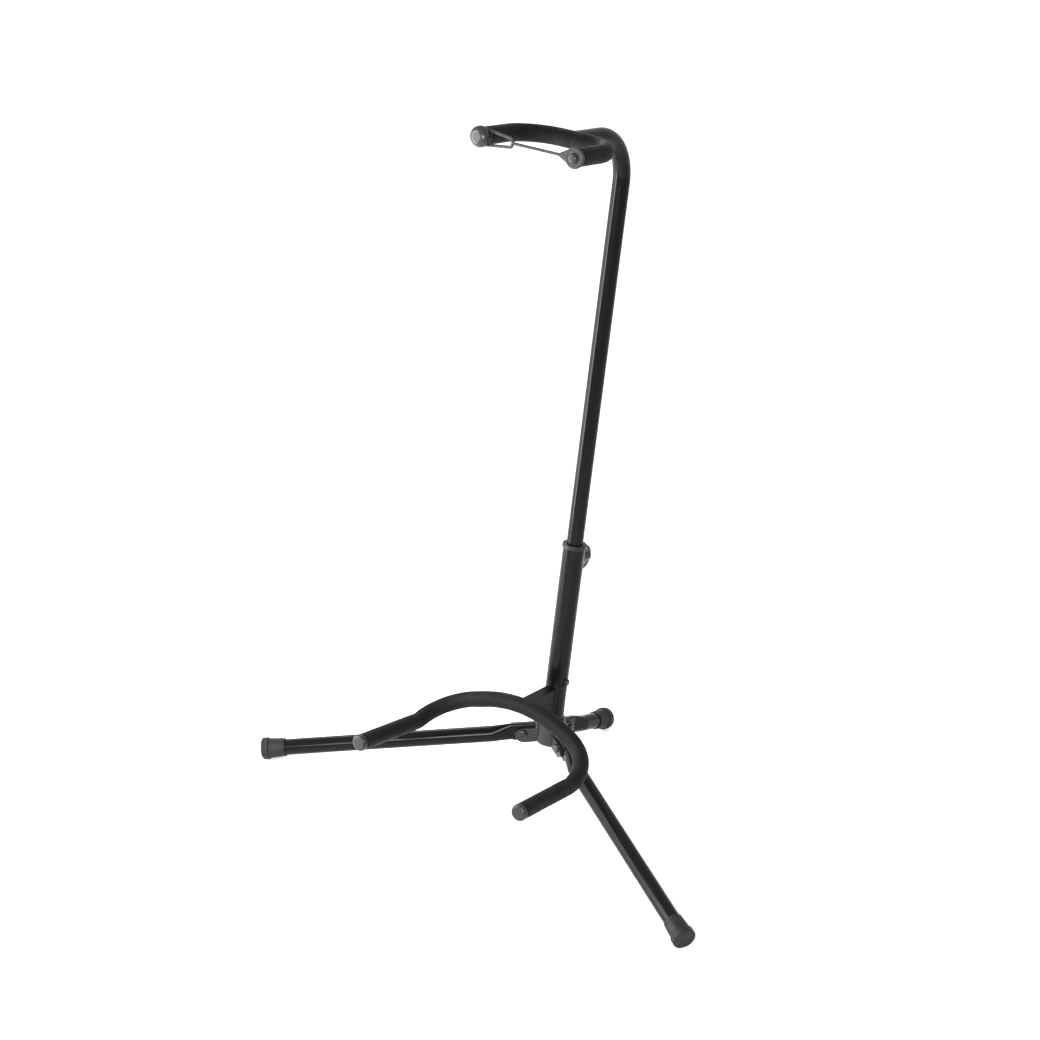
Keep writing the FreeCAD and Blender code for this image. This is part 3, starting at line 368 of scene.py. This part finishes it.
def path_frames(points):
    """Each point with two steady normals and the bend vector, as long as 1 / radius."""
    frames = []
    normal = None
    for i, point in enumerate(points):
        before, after = points[max(i - 1, 0)], points[min(i + 1, len(points) - 1)]
        tangent = (after - before).normalized()
        if normal is None:
            normal = tangent.orthogonal().normalized()
        normal = (normal - tangent * normal.dot(tangent)).normalized()
        bend = Vector((0, 0, 0))
        if 0 < i < len(points) - 1:
            spacing = (after - before).length / 2
            bend = (after + before - point * 2) / spacing ** 2
        frames.append((point, normal, tangent.cross(normal), bend))
    return frames


def from_seam(path, sign):
    """The part of a path on one side of the middle plane, starting exactly on the seam."""
    for before, point in zip(path, path[1:]):
        if point.x * sign > SEAM:
            share = (SEAM - before.x * sign) / ((point.x - before.x) * sign)
            start = before.lerp(point, share)
            outer = [p for p in path if p.x * sign > SEAM and (p - start).length > MM]
            return [start] + outer
    raise ValueError("the path doesn't cross the seam")


# ------------------------------------------------------------------ foam sleeves

FOAM_R = 9.4 * MM
FOAM_BORE = 6.65 * MM
FOAM_SIDES = 56
SKIN_INSET = 0.15 * MM              # keeps the uneven skin within the CAD solid
SKIN_WAVES = 0.16 * MM
SKIN_RIPPLES = 0.07 * MM
END_ROUND = 1.3 * MM                # radius of the rounded outer end
SEAM_EASE, SEAM_EASE_RUN = 0.25 * MM, 0.6 * MM
FULL_BEND = 25                      # 1 / metre: the bend at which folds are deepest
FOLD_FROM = 0.15                    # share of FULL_BEND at which they start
FOLD_PITCH = 5.2 * MM
FOLD_DEPTH = 0.6 * MM
SQUEEZE = 0.35 * MM                 # flattening on the inside of a bend
FOAM_EDGE = math.radians(50)        # sharper edges than this aren't shaded smooth


def end_ease(run, to_end):
    """How much thinner the skin is near the seam and at the rounded outer end."""
    if run < SEAM_EASE_RUN:
        return SEAM_EASE
    if to_end < END_ROUND:
        return END_ROUND - math.sqrt(max(END_ROUND ** 2 - (END_ROUND - to_end) ** 2, 0))
    return 0.0


def skin_relief(spot, run, inside):
    """Height of the skin over its plain round: waves, folds and squeeze in the bends."""
    relief = noise.noise(spot) * SKIN_WAVES + noise.noise(spot * 3.1) * SKIN_RIPPLES
    if inside > FOLD_FROM:
        wave = math.sin(run / FOLD_PITCH * 2 * math.pi + noise.noise(spot * 0.8) * 2.5)
        relief -= min(inside, 1.0) * (0.5 - 0.5 * wave) ** 3 * FOLD_DEPTH
    return relief - SQUEEZE * min(1.0, inside)


def foam_sleeve(name, points, body, cad_node, seed, recess):
    """Foam tube on a bent bar: softened ends, uneven skin, small folds inside the bends."""
    shape = bmesh.new()
    length = sum((b - a).length for a, b in zip(points, points[1:]))
    skins, bores = [], []
    run = 0.0
    last = points[0]
    for point, first, second, bend in path_frames(points):
        run += (point - last).length
        last = point
        plain = FOAM_R - SKIN_INSET - end_ease(run, length - run)
        skin_ring, bore_ring = [], []
        for k in range(FOAM_SIDES):
            angle = 2 * math.pi * k / FOAM_SIDES
            out = first * math.cos(angle) + second * math.sin(angle)
            spot = point * 60 + out * 0.35 + Vector((seed * 7.3, 0, 0))
            inside = max(0.0, out.dot(bend)) / FULL_BEND
            radius = plain + skin_relief(spot, run, inside)
            skin_ring.append(shape.verts.new(point + out * radius))
            bore_ring.append(shape.verts.new(point + out * FOAM_BORE))
        skins.append(skin_ring)
        bores.append(bore_ring)
    join_rings(shape, zip(skins, skins[1:]))
    join_rings(shape, [(b, a) for a, b in zip(bores, bores[1:])])
    join_rings(shape, [(bores[0], skins[0]), (skins[-1], bores[-1])])
    piece = finish_piece(name, shape, MATERIALS["foam"], body, cad_node)
    cut_away(piece, mast_box("recess", *recess))
    for face in piece.data.polygons:
        face.use_smooth = True
    piece.data.set_sharp_from_angle(angle=FOAM_EDGE)
    return piece


# The cradle's bar: an arch that rises to its middle, then two arms that reach forward.
ARCH_SLOPE, ARCH_LEAN = math.radians(19.4), math.radians(14.4)
ARCH_MIDDLE = mast_point(0, 64.5, 50.7)
ARCH_RADIUS = 153 * MM
SHOULDER_HALF = 101.3 * MM          # from the middle to the corner over an arm
SHOULDER_RADIUS = 51.7 * MM
ELBOW_RADIUS = 31.7 * MM
ARM_ROOT = (105.2, 117.3, 11.6)     # side, out and up of the arm's first corner
ARM_TIP = (107.7, 217, 17)
BRACKET_RECESS = ((-7.5, 40, 20), (7.5, 65, 57.55))
ARCH_DOWN = (FORWARD * math.sin(ARCH_LEAN) - UP_MAST * math.cos(ARCH_LEAN)).normalized()
ARCH_PEAK = ARCH_MIDDLE - ARCH_DOWN * ARCH_RADIUS * (1 / math.cos(ARCH_SLOPE) - 1)

# The yoke's bar: straight across behind the neck, then two arms forward.
YOKE_HALF, YOKE_OUT, YOKE_TIP, YOKE_UP = 55.3, 100, 178.5, 693
YOKE_RADIUS = 39.5 * MM
GOOSENECK_RECESS = ((-10, 80, 670), (10, 100.5, 716))


def shoulder(sign):
    """Corner of the cradle's arch over one arm."""
    return ARCH_PEAK + (SIDE * sign + ARCH_DOWN * math.tan(ARCH_SLOPE)) * SHOULDER_HALF


for sign, side in ((-1, "left"), (1, "right")):
    corners = [shoulder(-sign), ARCH_PEAK, shoulder(sign),
               mast_point(sign * ARM_ROOT[0], *ARM_ROOT[1:]),
               mast_point(sign * ARM_TIP[0], *ARM_TIP[1:])]
    path = rounded_path(corners, [ARCH_RADIUS, SHOULDER_RADIUS, ELBOW_RADIUS])
    foam_sleeve(f"cradle_foam_{side}", from_seam(path, sign), "base",
                f"cradle_sleeve_{side}", 1 + sign, BRACKET_RECESS)

    corners = [mast_point(0, YOKE_OUT, YOKE_UP),
               mast_point(YOKE_HALF * sign, YOKE_OUT, YOKE_UP),
               mast_point(YOKE_HALF * sign, YOKE_TIP, YOKE_UP)]
    path = rounded_path(corners, [YOKE_RADIUS])
    foam_sleeve(f"yoke_foam_{side}", from_seam(path, sign), "mast_top",
                f"yoke_sleeve_{side}", 4 + sign, GOOSENECK_RECESS)


# ------------------------------------------------------------------ neck strap (millimetres)

STRAP_BACK = 1.7                    # from the foam's end to the strap's back
STRAP_ORIGIN = mast_point(-YOKE_HALF, YOKE_TIP + STRAP_BACK, YOKE_UP)
STRAND_LIFT = 1.7                   # from the strap's back to the middle of a strand
STRAND_HALF_THICK = 1.4
STRAND_SIDES = 16
STRAND_SQUARENESS = 0.75            # 1 is an oval section, less is squarer
LOOP_HALF_WIDTH = 1.55
LOOP_R = 8.4                        # round the knob's neck
LOOP_REACH = 33.5                   # where the loop's two sides end
LOOP_NARROWING = 3.9                # of each side on the way there
LOOP_TIP, LOOP_TIP_LONG, LOOP_TIP_HALF = 34.2, 2.9, 4.4
EYELET_X = 110.6
EYELET_SIDES = 64
TAIL_START, TAIL_END = 36.5, EYELET_X - 5
TAIL_LENGTH = TAIL_END - TAIL_START
TAIL_STEPS = 60
TAIL_HALF, TAIL_ROOT, TAIL_ROOT_RUN = 1.45, 0.5, 5
TAPER_START, TAPER_HALF, TAPER_POWER = EYELET_X - 19, 9.0, 1.15
EYELET_PROFILE = (                  # radius and height over the strap's back
    (3.3, 0.0), (3.3, 3.2), (3.6, 3.4), (6.2, 3.4), (6.9, 3.1), (7.6, 3.1), (8.3, 3.4),
    (9.6, 3.4), (10.2, 3.1), (10.5, 2.6), (10.5, 0.8), (10.2, 0.25), (9.6, 0.0))


def strap_point(x, y, out):
    """Point of the strap's plane: millimetres from the left knob, up the mast and forward."""
    return STRAP_ORIGIN + (SIDE * x + UP_MAST * y + FORWARD * out) * MM


def squared(value):
    """Sine or cosine of a section's angle, pushed out to make the section squarer."""
    return math.copysign(abs(value) ** STRAND_SQUARENESS, value)


def add_strand(shape, centre_line, half_width, closed):
    """Moulded strand along a flat centre line; half_width takes the share along it."""
    rings = []
    count = len(centre_line)
    for i, (x, y) in enumerate(centre_line):
        if closed:
            before, after = centre_line[i - 1], centre_line[(i + 1) % count]
        else:
            before, after = centre_line[max(i - 1, 0)], centre_line[min(i + 1, count - 1)]
        along_x, along_y = after[0] - before[0], after[1] - before[1]
        length = math.hypot(along_x, along_y)
        normal_x, normal_y = -along_y / length, along_x / length
        wide = half_width(i / (count - 1))
        ring = []
        for k in range(STRAND_SIDES):
            angle = 2 * math.pi * k / STRAND_SIDES
            across = squared(math.cos(angle)) * wide
            out = squared(math.sin(angle)) * STRAND_HALF_THICK
            ring.append(shape.verts.new(strap_point(
                x + normal_x * across, y + normal_y * across, STRAND_LIFT + out)))
        rings.append(ring)
    join_rings(shape, zip(rings, rings[1:]))
    if closed:
        join_rings(shape, [(rings[-1], rings[0])])
    else:
        shape.faces.new(rings[0])
        shape.faces.new(list(reversed(rings[-1])))


def loop_line():
    """Centre line of the hooking loop: round the knob's neck, blunt at its inner end."""
    line = []
    for i in range(25):
        angle = math.radians(90 + 180 * i / 24)
        line.append((LOOP_R * math.cos(angle), LOOP_R * math.sin(angle)))
    for i in range(1, 12):
        share = i / 12
        line.append((share * LOOP_REACH, -LOOP_R + share * LOOP_NARROWING))
    for i in range(13):
        angle = math.radians(-80 + 160 * i / 12)
        line.append((LOOP_TIP + LOOP_TIP_LONG * math.cos(angle),
                     LOOP_TIP_HALF * math.sin(angle)))
    for i in range(1, 12):
        share = 1 - i / 12
        line.append((share * LOOP_REACH, LOOP_R - share * LOOP_NARROWING))
    return line


def tail_width(share):
    """Half width from the loop to the eyelet: thin cord, then a swelling taper."""
    x = TAIL_START + share * TAIL_LENGTH
    if x < TAPER_START:
        return TAIL_HALF + TAIL_ROOT * max(0, 1 - (x - TAIL_START) / TAIL_ROOT_RUN)
    grow = (x - TAPER_START) / (TAIL_END - TAPER_START)
    return TAIL_HALF + (TAPER_HALF - TAIL_HALF) * grow ** TAPER_POWER


def add_eyelet(shape):
    """Ring with a bore for the button's pin and a shallow groove round its face."""
    rings = []
    for radius, out in EYELET_PROFILE:
        angles = [2 * math.pi * k / EYELET_SIDES for k in range(EYELET_SIDES)]
        rings.append([shape.verts.new(strap_point(
            EYELET_X + radius * math.cos(a), radius * math.sin(a), out)) for a in angles])
    join_rings(shape, zip(rings, rings[1:] + rings[:1]))


strap_shape = bmesh.new()
add_strand(strap_shape, loop_line(), lambda share: LOOP_HALF_WIDTH, True)
tail_line = [(TAIL_START + TAIL_LENGTH * i / TAIL_STEPS, 0) for i in range(TAIL_STEPS + 1)]
add_strand(strap_shape, tail_line, tail_width, False)
add_eyelet(strap_shape)
strap = finish_piece("neck_strap_moulding", strap_shape, MATERIALS["strap"], "mast_top",
                     "neck_strap")

# ------------------------------------------------------------------ smooth shading of the CAD nodes

for node in nodes.values():
    if node.hide_render:
        continue
    for polygon in node.data.polygons:
        polygon.use_smooth = True


# ------------------------------------------------------------------ studio

def floor_material():
    """Plain pale paper, barely mottled."""
    build = Nodes("studio_floor", 0.75, Specular_IOR_Level=0.05)
    tone = build.remap(build.noise(1.4, detail=3), 0.3, 0.7, 0.0, 1.0)
    build.colour(build.blend(tone, (0.86, 0.86, 0.865), (0.89, 0.89, 0.89)))
    build.rough(build.remap(build.noise(3), 0.3, 0.7, 0.7, 0.8))
    return build.material


FLOOR_HALF = 14
floor_shape = bmesh.new()
bmesh.ops.create_grid(floor_shape, x_segments=8, y_segments=8, size=FLOOR_HALF)
floor = place_mesh("floor", floor_shape)
floor.data.materials.append(floor_material())

# The studio's light from all round, a little stronger overhead than at the horizon.
world = bpy.data.worlds.new("studio")
world.use_nodes = True
sky = world.node_tree
heading = sky.nodes.new("ShaderNodeTexCoord").outputs["Generated"]
split = sky.nodes.new("ShaderNodeSeparateXYZ")
fade = sky.nodes.new("ShaderNodeMapRange")
for key, value in (("From Min", 0.0), ("From Max", 1.0), ("To Min", 0.97), ("To Max", 1.2)):
    fade.inputs[key].default_value = value
sky.links.new(heading, split.inputs["Vector"])
sky.links.new(split.outputs["Z"], fade.inputs["Value"])
sky.links.new(fade.outputs["Result"], sky.nodes["Background"].inputs["Strength"])
sky.nodes["Background"].inputs["Color"].default_value = (0.985, 0.99, 1.0, 1)
bpy.context.scene.world = world
bpy.context.scene.view_settings.view_transform = "Standard"

LIGHTS = (                          # name, place, aim, width, height, watts
    ("key", (-1.7, -1.5, 1.6), (0, 0, 0.3), 1.0, 0.8, 14),
    ("strip", (-0.95, -0.45, 0.52), (0, 0.06, 0.4), 1.0, 1.0, 15),
    ("edge", (-0.74, -0.74, 0.60), (0, 0.06, 0.5), 0.2, 1.1, 20),
    ("front", (0.62, -1.65, 1.08), (-0.1, 0, 0.05), 1.2, 0.3, 55),
    ("back", (-1.6, 1.5, 1.3), (0, 0, 0.2), 1.0, 0.8, 14),
    ("rim", (1.9, 1.0, 1.4), (0, 0, 0.4), 0.3, 1.6, 7),
)
for name, place, aim, width, height, watts in LIGHTS:
    light = bpy.data.lights.new(name, "AREA")
    light.shape = "RECTANGLE"
    light.size, light.size_y = width, height
    light.energy = watts
    lamp = bpy.data.objects.new(name, light)
    bpy.context.scene.collection.objects.link(lamp)
    lamp.visible_camera = False
    lamp.location = place
    lamp.rotation_euler = (Vector(aim) - Vector(place)).to_track_quat("-Z", "Y").to_euler()
